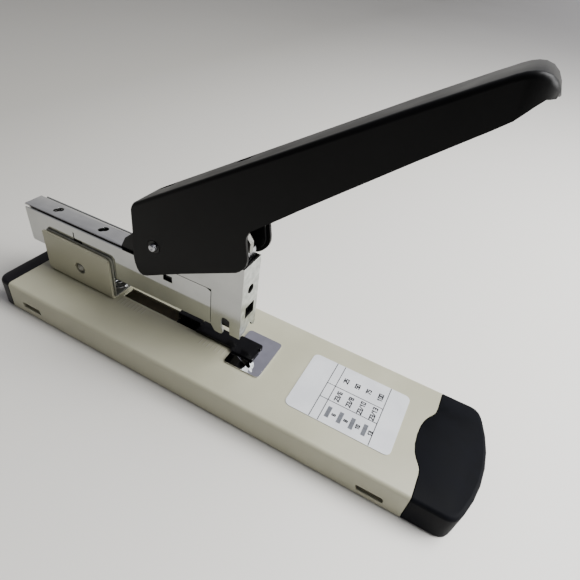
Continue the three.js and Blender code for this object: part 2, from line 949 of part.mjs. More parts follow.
function stapleRail() {
  const whole = channel(railHalf, railTop, railLip, rail.sheet, rail.bend, rail.rear, railFront);
  const nose = block(railFront - rail.plug, railFront, -railHalf + rail.sheet / 2,
    railHalf - rail.sheet / 2, railLip, railTop - rail.sheet / 2);
  const rodSeat = prism("x", circle(0, rod.z, rod.radius + fit),
    railFront - rail.plug - overrun, railFront - rail.plug + rod.seat);
  const track = block(rail.rear + rail.slotInset, railFront - rail.slotInset,
    -rail.slotHalf, rail.slotHalf, railTop - rail.sheet - gap, railTop + overrun);
  return cut(join(whole, nose), rodSeat, track);
}

const plugHalf = railHalf - rail.sheet - fit;
const plugFront = endBlock.rear + endBlock.thick + endBlock.plugDepth;

function railEndBlock() {
  const faceFront = endBlock.rear + endBlock.thick;
  const face = block(endBlock.rear, faceFront, -strip.halfWidth, strip.halfWidth,
    railLip, strip.top);
  const plug = block(faceFront - gap, plugFront, -plugHalf, plugHalf,
    railLip, railTop - rail.sheet - fit);
  const knob = prism("x", circle(0, rod.z, endBlock.knobRadius),
    endBlock.rear - endBlock.knobLength, endBlock.rear + gap);
  const rodSeat = prism("x", circle(0, rod.z, rod.radius + fit), plugFront - rod.seat,
    plugFront + overrun);
  return cut(join(face, plug, knob), rodSeat);
}

function pusherRod() {
  return prism("x", circle(0, rod.z, rod.radius, 16),
    plugFront - rod.seat + gap, railFront - rail.plug + rod.seat - gap);
}

const pusherFront = strip.rear - gap;
const pusherRear = pusherFront - pusher.length;

function staplePusher() {
  const outer = channel(strip.halfWidth, strip.top + pusher.lift, strip.legs,
    pusher.sheet, pusher.sheet, pusherRear, pusherFront);
  const crown = block(pusherRear, pusherFront, -strip.halfWidth + pusher.sheet / 2,
    strip.halfWidth - pusher.sheet / 2, railTop + gap, strip.top + pusher.lift - pusher.sheet / 2);
  const innerTop = railTop - rail.sheet - gap;
  const neck = block(pusherRear, pusherFront, -pusher.neckHalf, pusher.neckHalf,
    innerTop - rod.radius, railTop + 2 * gap);
  const inner = block(pusherRear, pusherFront, -pusher.innerHalf, pusher.innerHalf,
    railLip + rod.radius, innerTop);
  const bore = prism("x", circle(0, rod.z, rod.radius + gap), pusherRear - overrun,
    pusherFront + overrun);
  return cut(join(outer, crown, neck, inner), bore);
}

function stapleStrip() {
  return channel(strip.halfWidth, strip.top, strip.legs, strip.wire, strip.corner,
    strip.rear, driver.x - gap);
}

// Driver

function driverBlade() {
  return block(driver.x, driver.x + driver.thick, -driver.halfWidth, driver.halfWidth,
    driver.bottom, driver.top);
}

function driverYoke() {
  const front = head.front - head.sheet - gap - fit;
  const half = drivePin.radius + yoke.play;
  const outline = spread(yokeShares, yoke.rear, yoke.bottom, front - yoke.rear,
    yoke.top - yoke.bottom);
  const whole = prism("y", outline, -yoke.halfWidth, yoke.halfWidth);
  const slotCut = prism("y",
    box(yoke.slotRear, yoke.slotFront, link.z - half, link.z + half, half - gap),
    -yoke.halfWidth - overrun, yoke.halfWidth + overrun);
  const lap = block(driver.x - fit, front + overrun, -yoke.halfWidth - overrun,
    yoke.halfWidth + overrun, yoke.bottom - overrun, driver.top + fit);
  return cut(whole, slotCut, lap);
}

// Handle

const handleTop = spread(handleTopShares, handle.rear, handle.bottom, handle.reach, handle.rise);
const handleBottom = spread(handleBottomShares, handle.rear, handle.bottom, handle.reach,
  handle.rise);
const handleOutline = [...handleTop, ...handleBottom];

// All that lies under the web, when its upper face is moved in by this distance.
function underWeb(distance) {
  const line = inset(handleTop, distance, false);
  const [[x1, z1], [x2, z2]] = line;
  const stretch = (2 * overrun) / (x2 - x1);
  const start = [x1 - stretch * (x2 - x1), z1 - stretch * (z2 - z1)];
  const low = handle.bottom - overrun;
  return [start, ...line, [line.at(-1)[0], low], [start[0], low]];
}

function handleHole(radius) {
  return pivotHole(radius, handle.pivotX, handle.pivotZ, handle.halfWidth + overrun);
}

// Rings of points with one count, joined into a skin and closed by a flat face at each end.
function skinned(rings) {
  const around = rings[0].length;
  const index = [];
  rings.slice(1).forEach((_, i) => {
    for (let k = 0; k < around; k += 1) {
      const next = (k + 1) % around;
      const [a, b] = [i * around + k, i * around + next];
      index.push(a, b, b + around, a, b + around, a + around);
    }
  });
  const last = (rings.length - 1) * around;
  for (let k = 1; k < around - 1; k += 1) {
    index.push(0, k + 1, k, last, last + k, last + k + 1);
  }
  const geometry = new THREE.BufferGeometry();
  geometry.setAttribute("position", new THREE.Float32BufferAttribute(rings.flat(2), 3));
  geometry.setIndex(index);
  return solid(geometry);
}

// The handle's hood: its web falls to both sides, and its nose is round seen from above.
function hood(distance) {
  const line = underWeb(distance).slice(0, -2);
  const front = line.at(-1)[0];
  const low = handle.bottom - overrun;
  const radius = handle.nose - distance;
  const edge = Math.max(handle.edge - distance, gap);
  return skinned(line.map(([x, z]) => {
    const past = Math.max(x - (front - radius), 0);
    const half = handle.halfWidth - distance - radius + Math.sqrt(radius ** 2 - past ** 2);
    const shoulder = [
      [half, low],
      [half, z, edge],
      [-half, z, edge],
      [-half, low],
    ];
    return rounded(shoulder).map((point) => [x, point.x, point.y]);
  }));
}

function handleShell() {
  const { halfWidth } = handle;
  const sides = prism("y", handleOutline, -halfWidth, halfWidth);
  const slots = webSlotShares.map(([share, length]) => {
    const x = handle.rear + share * handle.reach;
    return block(x, x + length * handle.reach, handle.slotLeft,
      handle.slotLeft + handle.slotWidth, handle.pivotZ + overrun, handle.bottom + handle.rise);
  });
  const sheet = cut(hood(0), hood(handle.sheet));
  return cut(sheet.intersect(sides), handleHole(handle.holeRadius), ...slots);
}

function handleLiner() {
  const half = plateInner - gap;
  const close = handle.sheet + gap;
  const reach = handleOutline.filter(([x]) => x < liner.front + handle.nose);
  const outline = prism("y", inset(reach, close, true), -half, half);
  const peekRear = handle.rear - liner.peek;
  const lip = prism("y", box(peekRear, peekRear + liner.lap, liner.peekBottom,
    liner.peekBottom + liner.peekHeight, liner.peek), -half, half);
  const keep = block(peekRear, liner.front, -half, half, handle.bottom,
    handle.bottom + handle.rise);
  const inside = prism("y", underWeb(close + liner.sheet), liner.sheet - half,
    half - liner.sheet);
  return cut(join(outline, lip).intersect(keep), inside, handleHole(handle.holeRadius));
}

function driveBracket() {
  const outer = yoke.halfWidth + gap + ear.sheet;
  const inner = outer - ear.sheet;
  const top = handle.sheet + gap + liner.sheet + gap;
  const outline = spread(earShares, drivePin.x, drivePin.z, ear.height, ear.height);
  const whole = prism("y", outline, -outer, outer).intersect(
    prism("y", underWeb(top), -outer, outer));
  const inside = prism("y", underWeb(top + ear.sheet), -inner, inner);
  return cut(
    whole,
    inside,
    pivotHole(drivePin.radius + fit, drivePin.x, drivePin.z, outer + overrun),
  );
}

function drivePinBody() {
  const half = yoke.halfWidth + gap + ear.sheet;
  return prism("y", circle(drivePin.x, drivePin.z, drivePin.radius), -half, half);
}

// Finishes

const finishes = {
  basePaint: { color: 0xa29d8c, roughness: 0.45, metalness: 0.1 },
  blackPlastic: { color: 0x1d1b1e, roughness: 0.5, metalness: 0 },
  charcoalPlastic: { color: 0x3a3a3c, roughness: 0.55, metalness: 0 },
  glossPlastic: { color: 0x0d0d0f, roughness: 0.15, metalness: 0 },
  chrome: { color: 0xd5d6da, roughness: 0.12, metalness: 1 },
  brightSteel: { color: 0xb9bbbf, roughness: 0.3, metalness: 1 },
  springSteel: { color: 0x8f9094, roughness: 0.35, metalness: 1 },
  blackPaint: { color: 0x1b1b1d, roughness: 0.4, metalness: 0.1 },
  rubber: { color: 0x202020, roughness: 0.9, metalness: 0 },
  labelStock: { color: 0xc9c9c6, roughness: 0.5, metalness: 0 },
};

function geometryOf(body) {
  const { vertProperties, triVerts } = body.getMesh();
  const geometry = new THREE.BufferGeometry();
  geometry.setAttribute("position", new THREE.BufferAttribute(vertProperties, 3));
  geometry.setIndex(new THREE.BufferAttribute(triVerts, 1));
  geometry.computeVertexNormals();
  return geometry;
}

function add(parent, name, body, finish) {
  const material = new THREE.MeshStandardMaterial(finishes[finish]);
  const mesh = new THREE.Mesh(geometryOf(body), material);
  mesh.name = name;
  parent.add(mesh);
  return mesh;
}

// Assembly

const stapler = new THREE.Group();
const standing = new THREE.Group();
standing.position.x = -(rearCap.rear + noseFront) / 2;
stapler.add(standing);

const tilted = new THREE.Group();
tilted.position.set(pivot.x, 0, pivot.z);
tilted.rotation.y = -pivot.tilt;
standing.add(tilted);
const arm = new THREE.Group();
arm.position.set(-pivot.x, 0, -pivot.z);
tilted.add(arm);

add(standing, "rubber_mat", rubberMat(), "rubber");
add(standing, "base_plate", basePlate(), "brightSteel");
add(standing, "base_shell", baseShell(), "basePaint");
add(standing, "front_cap", frontCapBody(), "charcoalPlastic");
add(standing, "rear_cap", rearCapBody(), "blackPlastic");
add(standing, "anvil_support", anvilSupport(), "brightSteel");
add(standing, "anvil_plate", anvilPlate(), "chrome");
add(standing, "label_plate", labelPlate(), "labelStock");
add(standing, "rear_bracket", outerBracket(), "basePaint");
add(standing, "inner_bracket", innerBracketBody(), "chrome");
add(standing, "arm_pivot_pin", pivotPin(), "brightSteel");
rivet.places.forEach((x, i) => {
  add(standing, `bracket_rivet_${i + 1}`, bracketRivet(), "brightSteel").position.x = x;
});
const returnCoil = coil("return_spring", returnSpring, returnSpringLength());
add(standing, "return_spring", returnCoil, "springSteel")
  .position.set(returnSpring.x, 0, innerFloor + gap);

add(standing, "paper_stop", paperStop(), "glossPlastic");

add(arm, "magazine_casing", magazineCasing(), "chrome");
add(arm, "top_cover", topCover(), "chrome");
cover.spacers.forEach((x, i) => {
  add(arm, `cover_spacer_${i + 1}`, crossRod(x, spacerHeight, cover.spacerRadius), "brightSteel");
});
add(arm, "saddle", saddleBody(), "blackPaint");
saddleRivets.forEach((x, i) => {
  const body = crossRod(x, saddleRivetHeight, saddle.rivetRadius);
  add(arm, `saddle_rivet_${i + 1}`, body, "brightSteel");
});
add(arm, "head_frame", headFrame(), "chrome");
add(arm, "driver_guide", driverGuide(), "brightSteel");
add(arm, "handle_pivot_pin", handlePinBody(), "brightSteel");
add(arm, "pivot_bush_1", bushBody(-1), "blackPlastic");
add(arm, "pivot_bush_2", bushBody(1), "blackPlastic");
const coilSpace = 2 * (saddle.halfWidth - saddle.sheet - gap);
const handleCoil = add(arm, "handle_spring",
  coil("handle_spring", handleSpring, coilSpace), "springSteel");
handleCoil.position.set(hinge.x, -coilSpace / 2, hinge.z);
handleCoil.rotation.x = -Math.PI / 2;

add(arm, "staple_rail", stapleRail(), "brightSteel");
add(arm, "rail_end_block", railEndBlock(), "blackPlastic");
add(arm, "pusher_rod", pusherRod(), "brightSteel");
const springSpace = pusherRear - plugFront - 2 * gap;
const pusherCoil = add(arm, "pusher_spring",
  coil("pusher_spring", pusherSpring, springSpace), "springSteel");
pusherCoil.position.set(plugFront + gap, 0, rod.z);
pusherCoil.rotation.y = Math.PI / 2;
add(arm, "staple_strip", stapleStrip(), "chrome");
add(arm, "staple_pusher", staplePusher(), "blackPlastic");

add(arm, "driver_blade", driverBlade(), "brightSteel");
add(arm, "driver_yoke", driverYoke(), "brightSteel");

add(standing, "handle_shell", handleShell(), "blackPaint");
add(standing, "handle_liner", handleLiner(), "blackPaint");
add(standing, "drive_bracket", driveBracket(), "brightSteel");
add(standing, "drive_pin", drivePinBody(), "brightSteel");

export default stapler;
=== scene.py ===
# %% [markdown]
# # A heavy duty desk stapler
# The solids of the stapler come from the frame, with every piece already in its place. This
# lesson gives them rounded sheet edges, real finishes, and the pieces that only the eye needs.

# %% Load the solids
import json
import math

import bmesh
import bpy
import numpy as np
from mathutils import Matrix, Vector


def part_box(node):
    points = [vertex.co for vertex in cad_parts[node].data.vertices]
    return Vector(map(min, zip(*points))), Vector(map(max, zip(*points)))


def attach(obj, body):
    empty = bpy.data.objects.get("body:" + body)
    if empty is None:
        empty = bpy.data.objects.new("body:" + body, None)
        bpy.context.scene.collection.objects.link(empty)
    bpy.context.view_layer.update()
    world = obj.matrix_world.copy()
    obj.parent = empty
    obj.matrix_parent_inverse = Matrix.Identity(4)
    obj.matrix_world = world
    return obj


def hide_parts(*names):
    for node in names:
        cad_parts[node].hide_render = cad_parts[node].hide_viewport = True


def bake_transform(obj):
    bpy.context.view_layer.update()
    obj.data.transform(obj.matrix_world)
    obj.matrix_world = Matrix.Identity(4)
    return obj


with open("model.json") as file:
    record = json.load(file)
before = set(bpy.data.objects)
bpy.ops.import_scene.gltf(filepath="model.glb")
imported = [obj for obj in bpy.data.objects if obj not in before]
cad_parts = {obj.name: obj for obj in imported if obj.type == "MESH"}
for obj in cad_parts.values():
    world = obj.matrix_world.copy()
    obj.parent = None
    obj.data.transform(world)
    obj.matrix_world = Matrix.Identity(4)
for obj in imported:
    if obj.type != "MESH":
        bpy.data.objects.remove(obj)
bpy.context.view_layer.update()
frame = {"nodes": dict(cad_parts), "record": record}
nodes = frame["nodes"]

# %% [markdown]
# The camera stands beside the handle's nose, on the near side, and looks down along the
# stapler to its rear. Its place was worked out from the straight edges of the base, so it
# is set in plain numbers.

# %% Camera
MM = 0.001
FILM_WIDTH_MM, LENS_MM = 36, 27.959
CAMERA_PLACE_MM = (86.247, -153.398, 205.478)
CAMERA_TURN_DEG = (50.2706, -7.9467, 27.0545)
NEAR_LIMIT = 0.01
camera = bpy.data.objects.new("camera", bpy.data.cameras.new("camera"))
camera.data.sensor_width = FILM_WIDTH_MM
camera.data.lens = LENS_MM
camera.location = [place * MM for place in CAMERA_PLACE_MM]
camera.rotation_euler = [math.radians(turn) for turn in CAMERA_TURN_DEG]
camera.data.clip_start = NEAR_LIMIT
bpy.context.scene.collection.objects.link(camera)
bpy.context.scene.camera = camera

# %% [markdown]
# Every finish below is given as the colour code that a paint card would show. Blender works
# with linear light, so one function turns a code into linear numbers. A second one adds a
# node to a material, with its settings, its values and what is plugged into it.


# %% Colours and nodes
def linear(code):
    """sRGB hex to linear: the low part is a straight line, the rest a power of 2.4."""
    parts = np.array([int(code[i : i + 2], 16) for i in (0, 2, 4)]) / 255
    values = np.where(parts < 0.04045, parts / 12.92, ((parts + 0.055) / 1.055) ** 2.4)
    return (*values, 1.0)


def add_node(owner, kind, links=None, inputs=None, **settings):
    """Adds one node: settings are its own, inputs its values, links its incoming sockets."""
    node = owner.node_tree.nodes.new(kind)
    for key, value in settings.items():
        setattr(node, key, value)
    for socket, value in (inputs or {}).items():
        node.inputs[socket].default_value = value
    for socket, source in (links or {}).items():
        owner.node_tree.links.new(source, node.inputs[socket])
    return node


# %% [markdown]
# Nearly every finish on the stapler has the same three layers, each with a real size: a
# colour that wanders over patches, a gloss that wanders with it, and a fine grain that the
# light catches. So one function mixes a finish from those sizes, in the piece's own
# coordinates, which are metres. Nearly all of a noise lies between 0.35 and 0.65, so the
# colour and the gloss are spread over that part of it.

# %% A finish with patches, gloss and grain
NOISE_LOW, NOISE_HIGH = 0.35, 0.65


def make_finish(name, colours, patch_mm, gloss, grain_mm, depth_mm, metal=0.0, specular=0.5):
    """Patch noise drives colour and roughness between two values each, grain noise a bump.
    specular is 0.5 for common plastic and paint, and the lower values are given one by one."""
    material = bpy.data.materials.new(name)
    material.use_nodes = True
    shader = material.node_tree.nodes["Principled BSDF"]
    shader.inputs["Metallic"].default_value = metal
    shader.inputs["Specular IOR Level"].default_value = specular
    where = add_node(material, "ShaderNodeTexCoord").outputs["Object"]
    patches = add_node(
        material,
        "ShaderNodeTexNoise",
        links={"Vector": where},
        inputs={"Scale": 1 / (patch_mm * MM), "Detail": 3.0},
        name="patches",
    ).outputs["Fac"]
    tone = add_node(material, "ShaderNodeValToRGB", links={"Fac": patches}, name="tone")
    noise_range = (NOISE_LOW, NOISE_HIGH)
    for stop, code, place_on_ramp in zip(tone.color_ramp.elements, colours, noise_range):
        stop.color = linear(code)
        stop.position = place_on_ramp
    rough = add_node(
        material,
        "ShaderNodeMapRange",
        links={"Value": patches},
        inputs={
            "From Min": NOISE_LOW,
            "From Max": NOISE_HIGH,
            "To Min": gloss[0],
            "To Max": gloss[1],
        },
        name="rough",
    )
    grain = add_node(
        material,
        "ShaderNodeTexNoise",
        links={"Vector": where},
        inputs={"Scale": 1 / (grain_mm * MM), "Detail": 2.0},
        name="grain",
    )
    bump = add_node(
        material,
        "ShaderNodeBump",
        links={"Height": grain.outputs["Fac"]},
        inputs={"Distance": depth_mm * MM},
        name="bump",
    )
    links = material.node_tree.links
    links.new(tone.outputs["Color"], shader.inputs["Base Color"])
    links.new(rough.outputs["Result"], shader.inputs["Roughness"])
    links.new(bump.outputs["Normal"], shader.inputs["Normal"])
    return material


# %% [markdown]
# The base and its hinge bracket are steel under a beige-grey stove enamel. Baked enamel is
# satin, and a low orange peel, about a millimetre across, breaks up its reflections. The
# plate under the slot is given a pale cream, painted light that makes the deep slot show a brown
# gloom instead of black.

# %% Stove enamel
stove_enamel = make_finish("stove_enamel", ("a2a08a", "a8a690"), 25, (0.36, 0.44), 1.4, 0.02)
# painted light: this pale cream under the slot stands in for light reaching the slot's floor
slot_floor_painted_light = make_finish("slot_floor_painted_light", ("d2c9b2", "ddd4bd"), 12, (0.5, 0.6), 1.4, 0.03)

# %% [markdown]
# The end caps are moulded in polystyrene. The mould was spark eroded, which leaves a fine
# grain about half a millimetre across. Both are nearly black. The front one is duller and
# a little colder, so it looks like charcoal.

# %% Moulded polystyrene
black_moulding = make_finish(
    "black_moulding", ("0e0d10", "131115"), 9, (0.36, 0.46), 0.5, 0.03, specular=0.15
)
charcoal_moulding = make_finish(
    "charcoal_moulding", ("0b0c0f", "0f1014"), 12, (0.5, 0.6), 0.5, 0.03, specular=0.04
)

# %% [markdown]
# The paper stop is ABS from a polished mould: black and shiny, with hardly any grain. The
# bushes of the handle's pivot get the same black, partly as painted shade for the dark ring
# round the pin's end.

# %% Polished ABS
polished_abs = make_finish(
    "polished_abs", ("060607", "0a0a0b"), 6, (0.14, 0.2), 1, 0.002, specular=0.2
)

# %% [markdown]
# The magazine and the anvil are mild steel with a bright chrome plate, nearly a mirror.
# The cover over the magazine and the striking head are only nickel plated, so they are
# duller, and the head's front plate is galvanised, which leaves crystals some 3 mm
# across. Inside the channels the sheet has no plate, and it is set nearly black as painted
# shade, darker than such sheet is.

# %% Plated and bare sheet
chrome_plate = make_finish("chrome_plate", ("b2b3b1", "babbb9"), 14, (0.03, 0.06), 4, 0.001, 1.0)
nickel_satin = make_finish("nickel_satin", ("d2d2cf", "dcdcd9"), 9, (0.2, 0.27), 1, 0.002, 1.0)
nickel_dull = make_finish("nickel_dull", ("adaeac", "b6b7b5"), 14, (0.13, 0.17), 4, 0.001, 1.0)
galvanised = make_finish("galvanised", ("a6aaa6", "c9ccc8"), 3, (0.28, 0.42), 1.5, 0.01, 1.0)
bare_sheet_painted_shade = make_finish("bare_sheet_painted_shade", ("1c1b1a", "262523"), 5, (0.6, 0.7), 1, 0.01, 0.6)
anvil_chrome = make_finish("anvil_chrome", ("c6c6cb", "d0d0d5"), 8, (0.04, 0.07), 2, 0.001, 1.0)

# %% [markdown]
# Most pins and rivets are zinc plated, which is duller and a little cloudy. The inner
# bracket is phosphated: grey crystals that scatter nearly all the light. The driver's
# yoke is plain satin steel, and the arm's pivot pin gets the same darker steel, partly as
# painted shade for the hole it sits in. The springs are hard drawn wire, bright from the die,
# and set a little brighter still as painted light on the shaded coils; the staples are a darker
# wire.

# %% Zinc, phosphate, satin steel and wire
zinc_plate = make_finish("zinc_plate", ("a6a7ac", "c6c7cb"), 2.5, (0.2, 0.36), 0.8, 0.006, 1.0)
phosphate = make_finish("phosphate", ("94948c", "a1a199"), 4, (0.46, 0.56), 0.5, 0.006, 0.8)
satin_steel = make_finish("satin_steel", ("8c8b87", "9c9b96"), 3, (0.42, 0.5), 0.6, 0.004, 1.0)
# bright drawn wire, set a little brighter still as painted light on the shaded coils
spring_wire_and_painted_light = make_finish("spring_wire_and_painted_light", ("c0c1c5", "d8d9dc"), 1.5, (0.2, 0.3), 0.5, 0.004, 1.0)
staple_wire = make_finish("staple_wire", ("47474a", "565659"), 2, (0.4, 0.5), 0.6, 0.004, 1.0)

# %% [markdown]
# The handle is pressed steel with a black powder coat. Powder melts into small even bosses,
# so it is satin rather than shiny. The saddle in it has a smooth black lacquer instead.

# %% Powder coat and lacquer
powder_coat = make_finish(
    "powder_coat", ("070708", "0b0b0c"), 16, (0.34, 0.42), 0.6, 0.012, specular=0.12
)
black_lacquer = make_finish(
    "black_lacquer", ("030304", "060607"), 8, (0.2, 0.26), 1, 0.002, specular=0.12
)

# %% [markdown]
# The mat under the base is sheet rubber, and the label is a coated paper with dull ink.

# %% Rubber, paper and ink
mat_rubber = make_finish("mat_rubber", ("161616", "1e1e1e"), 5, (0.8, 0.9), 0.7, 0.05)
coated_paper = make_finish("coated_paper", ("c6c8cb", "ced0d2"), 14, (0.28, 0.36), 2, 0.004)
label_ink = make_finish("label_ink", ("15161a", "202126"), 1.5, (0.5, 0.6), 0.5, 0.002)
label_grey = make_finish("label_grey", ("4c4e54", "5d6066"), 1.2, (0.5, 0.6), 0.5, 0.002)

# %% [markdown]
# Real sheet has no razor edges: the press rolls them over by a few tenths of a millimetre.
# Each sheet piece is therefore a copy of its solid, with its triangles merged into whole
# faces, a narrow bevel round its edges and smooth shading over its curves.

# %% Rounded copies of the solids
WELD_MM, FLAT_DEG = 0.002, 0.6


def rounded_copy(name, body, material, edge_mm, smooth_deg=35):
    """A copy of a solid whose flat triangles are joined and whose edges are rounded."""
    mesh = bmesh.new()
    mesh.from_mesh(nodes[name].data)
    bmesh.ops.remove_doubles(mesh, verts=mesh.verts, dist=WELD_MM * MM)
    flat = math.radians(FLAT_DEG)
    bmesh.ops.dissolve_limit(mesh, angle_limit=flat, verts=mesh.verts, edges=mesh.edges)
    data = bpy.data.meshes.new(name + "_finished")
    mesh.to_mesh(data)
    mesh.free()
    data.materials.clear()
    data.materials.append(material)
    data.polygons.foreach_set("use_smooth", np.ones(len(data.polygons), bool))
    data.set_sharp_from_angle(angle=math.radians(smooth_deg))
    piece = bpy.data.objects.new(name + "_finished", data)
    bpy.context.scene.collection.objects.link(piece)
    if edge_mm:
        bevel = piece.modifiers.new("rolled_edges", "BEVEL")
        bevel.width = edge_mm * MM
        bevel.segments = 2
        bevel.limit_method = "ANGLE"
        bevel.angle_limit = math.radians(smooth_deg)
        bevel.harden_normals = True
    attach(piece, body)
    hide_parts(name)
    return piece


# %% [markdown]
# The record gives every piece a slot, which is the kind of surface it has, and each slot
# has its finish. Some pieces differ from the rest of their slot and have one of their own.

# %% Which finish goes where
finishes = {
    "base_paint": stove_enamel,
    "black_paint": powder_coat,
    "black_plastic": black_moulding,
    "charcoal_plastic": charcoal_moulding,
    "gloss_black": polished_abs,
    "chrome": chrome_plate,
    "steel": zinc_plate,
    "spring_steel": spring_wire_and_painted_light,
    "rubber_mat": mat_rubber,
    "label": coated_paper,
}
own_finish = {
    "anvil_plate": anvil_chrome,
    "base_plate": slot_floor_painted_light,
    "top_cover": nickel_satin,
    "head_frame": nickel_dull,
    "saddle": black_lacquer,
    "inner_bracket": phosphate,
    "driver_yoke": satin_steel,
    "driver_guide": bare_sheet_painted_shade,
    "staple_rail": bare_sheet_painted_shade,
    # the bushes' black is partly painted shade round the handle's pin
    "pivot_bush_1": polished_abs,
    "pivot_bush_2": polished_abs,
}
slots = {row["node"]: row["material_slot"] for row in frame["record"]["subparts"]}
bodies = frame["record"]["behaviour"]["bodies"]
body_of = {name: body for body, members in bodies.items() for name in members}

# %% [markdown]
# The thicker a sheet is, the rounder its edges. These are the edge widths in millimetres:
# the mouldings, the anvil and the handle are the roundest, the thin label hardly at all.

# %% Edges of sheet and mouldings
rolled_edges_mm = {
    "base_shell": 0.25,
    "front_cap": 0.3,
    "rear_cap": 0.3,
    "rear_bracket": 0.2,
    "inner_bracket": 0.12,
    "anvil_plate": 0.3,
    "label_plate": 0.05,
    "paper_stop": 0.2,
    "magazine_casing": 0.12,
    "top_cover": 0.12,
    "saddle": 0.2,
    "head_frame": 0.12,
    "handle_shell": 0.3,
    "handle_liner": 0.2,
    "rail_end_block": 0.3,
}
finished = {}
replaced_names = set(rolled_edges_mm)
for name, edge_mm in rolled_edges_mm.items():
    material = own_finish.get(name, finishes[slots[name]])
    finished[name] = rounded_copy(name, body_of[name], material, edge_mm)
print("rounded copies:", len(rolled_edges_mm))

# %% [markdown]
# A piece of sheet can be plated on one face and dull on the other, and inside the channels
# it is set nearly black as painted shade. The faces are told apart by where their middle lies
# and which way they look, for all faces at once: the inside of the channels is less than 7.2 mm
# from the middle plane.

# %% Faces with a finish of their own
INSIDE_HALF, FORWARD = 7.2, 0.7


def refinish(name, material, chosen):
    """Gives the faces for which chosen(centres in mm, normals) is true another finish."""
    data = finished[name].data
    centres, normals = np.empty((2, len(data.polygons), 3))
    data.polygons.foreach_get("center", centres.ravel())
    data.polygons.foreach_get("normal", normals.ravel())
    picked = chosen(centres / MM, normals)
    kept = np.empty(len(data.polygons), np.int32)
    data.polygons.foreach_get("material_index", kept)
    data.materials.append(material)
    chosen_index = len(data.materials) - 1
    data.polygons.foreach_set("material_index", np.where(picked, chosen_index, kept))
    print(name, material.name, int(picked.sum()), "faces")


def looks_forward(centres, normals):
    """True for the faces that look to the front of the stapler."""
    return normals[:, 0] > FORWARD


def lies_in_painted_shade(centres, normals):
    """True for the faces between the side walls, apart from those that look forward."""
    return (abs(centres[:, 1]) < INSIDE_HALF) & (normals[:, 0] < FORWARD)


refinish("head_frame", galvanised, looks_forward)
# the faces inside the head and the magazine get the nearly black painted shade
for name in ("head_frame", "magazine_casing"):
    refinish(name, bare_sheet_painted_shade, lies_in_painted_shade)

# %% [markdown]
# Pieces that are worked out from a formula are grids of points. Rows follow one parameter
# and columns the other, four neighbours make a face, and the grid can be closed round and
# capped at both ends.

# %% Skins from grids
SKIN_SMOOTH_DEG = 40


def skin(name, points, around=False, caps=False):
    """An object whose faces join each point to its neighbours in the next row and column.
    points is rows x columns x 3, in millimetres."""
    rows, columns = points.shape[:2]
    index = np.arange(rows * columns).reshape(rows, columns)
    ring = np.hstack([index, index[:, :1]]) if around else index
    quads = np.stack([ring[:-1, :-1], ring[:-1, 1:], ring[1:, 1:], ring[1:, :-1]], axis=-1)
    faces = quads.reshape(-1, 4).tolist()
    if caps:
        faces += [index[0, ::-1].tolist(), index[-1].tolist()]
    data = bpy.data.meshes.new(name)
    data.from_pydata((points.reshape(-1, 3) * MM).tolist(), [], faces)
    mesh = bmesh.new()
    mesh.from_mesh(data)
    bmesh.ops.recalc_face_normals(mesh, faces=mesh.faces)
    mesh.to_mesh(data)
    mesh.free()
    data.polygons.foreach_set("use_smooth", np.ones(len(data.polygons), bool))
    data.set_sharp_from_angle(angle=math.radians(SKIN_SMOOTH_DEG))
    piece = bpy.data.objects.new(name, data)
    bpy.context.scene.collection.objects.link(piece)
    print(name, len(faces), "faces")
    return piece


def settle(piece, material, body, slot, *replaced):
    """Gives a new piece its finish, the body it moves with and the solids it stands for."""
    piece.data.materials.clear()
    piece.data.materials.append(material)
    if body:
        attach(piece, body)
    if replaced:
        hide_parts(*replaced)
        replaced_names.update(replaced)
    return piece


# %% [markdown]
# The three springs are round wire wound on a mandrel. The wire's centre goes round the
# axis at one radius while it climbs, and the first and last turn are closed: they climb by
# one wire only, so that the spring stands flat. Two of them sit between two bodies that a
# joint moves; they get no body of their own, and their place is baked into their points.


# %% Springs
def coil_points(start, axis, across, radius, wire, curls, length, sides=10, steps=28):
    """Centre line: start + axis * climb + radius * (cos, sin) of the turn. Each ring of the
    wire lies in the plane of the outward direction and of what is square to it."""
    turns = np.linspace(0, curls, curls * steps + 1)
    flat = 1.1 * wire
    climb = np.interp(turns, [0, 1, curls - 1, curls], [0, flat, length - flat, length])
    angle = 2 * np.pi * turns[:, None]
    outward = np.cos(angle) * across + np.sin(angle) * np.cross(axis, across)
    line = start + climb[:, None] * axis + radius * outward
    along = np.gradient(line, axis=0)
    along /= np.linalg.norm(along, axis=1, keepdims=True)
    level = np.cross(along, outward)
    around = 2 * np.pi * np.arange(sides)[None, :, None] / sides
    rim = np.cos(around) * outward[:, None] + np.sin(around) * level[:, None]
    return line[:, None] + 0.5 * wire * rim


# %% [markdown]
# Each spring has an axis, a direction across it in which the wire starts, the radius of
# the coil, the thickness of the wire and a number of turns. The arm stands with its nose
# up by 0.8 degrees, and the pusher's spring lies along it.

# %% The three springs
TILT = math.radians(0.8)
forward, sideways, upwards = np.eye(3)
along_arm = np.array([math.cos(TILT), 0, math.sin(TILT)])
squeezed = {"return_spring": ("base", "arm"), "pusher_spring": ("tray", "pusher")}
for name, axis, across, radius, wire, curls in (
    ("return_spring", upwards, forward, 3.9, 1.0, 4),
    ("handle_spring", sideways, forward, 3.6, 1.0, 5),
    ("pusher_spring", along_arm, sideways, 2.15, 0.7, 24),
):
    low, high = (np.array(corner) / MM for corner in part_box(name))
    middle = (low + high) / 2
    length = np.abs(axis) @ (high - low) - wire
    start = middle - axis * length / 2
    piece = skin(
        name + "_wire",
        coil_points(start, axis, across, radius, wire, curls, length),
        around=True,
        caps=True,
    )
    if name in squeezed:
        settle(piece, spring_wire_and_painted_light, None, slots[name], name)
        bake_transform(piece)
    else:
        settle(piece, spring_wire_and_painted_light, body_of[name], slots[name], name)

# %% [markdown]
# A pin end is what the eye meets on the bracket and on the handle. It is turned on a
# lathe: a dome with a small centre mark. The profile runs along the pin and is carried
# once round its axis.


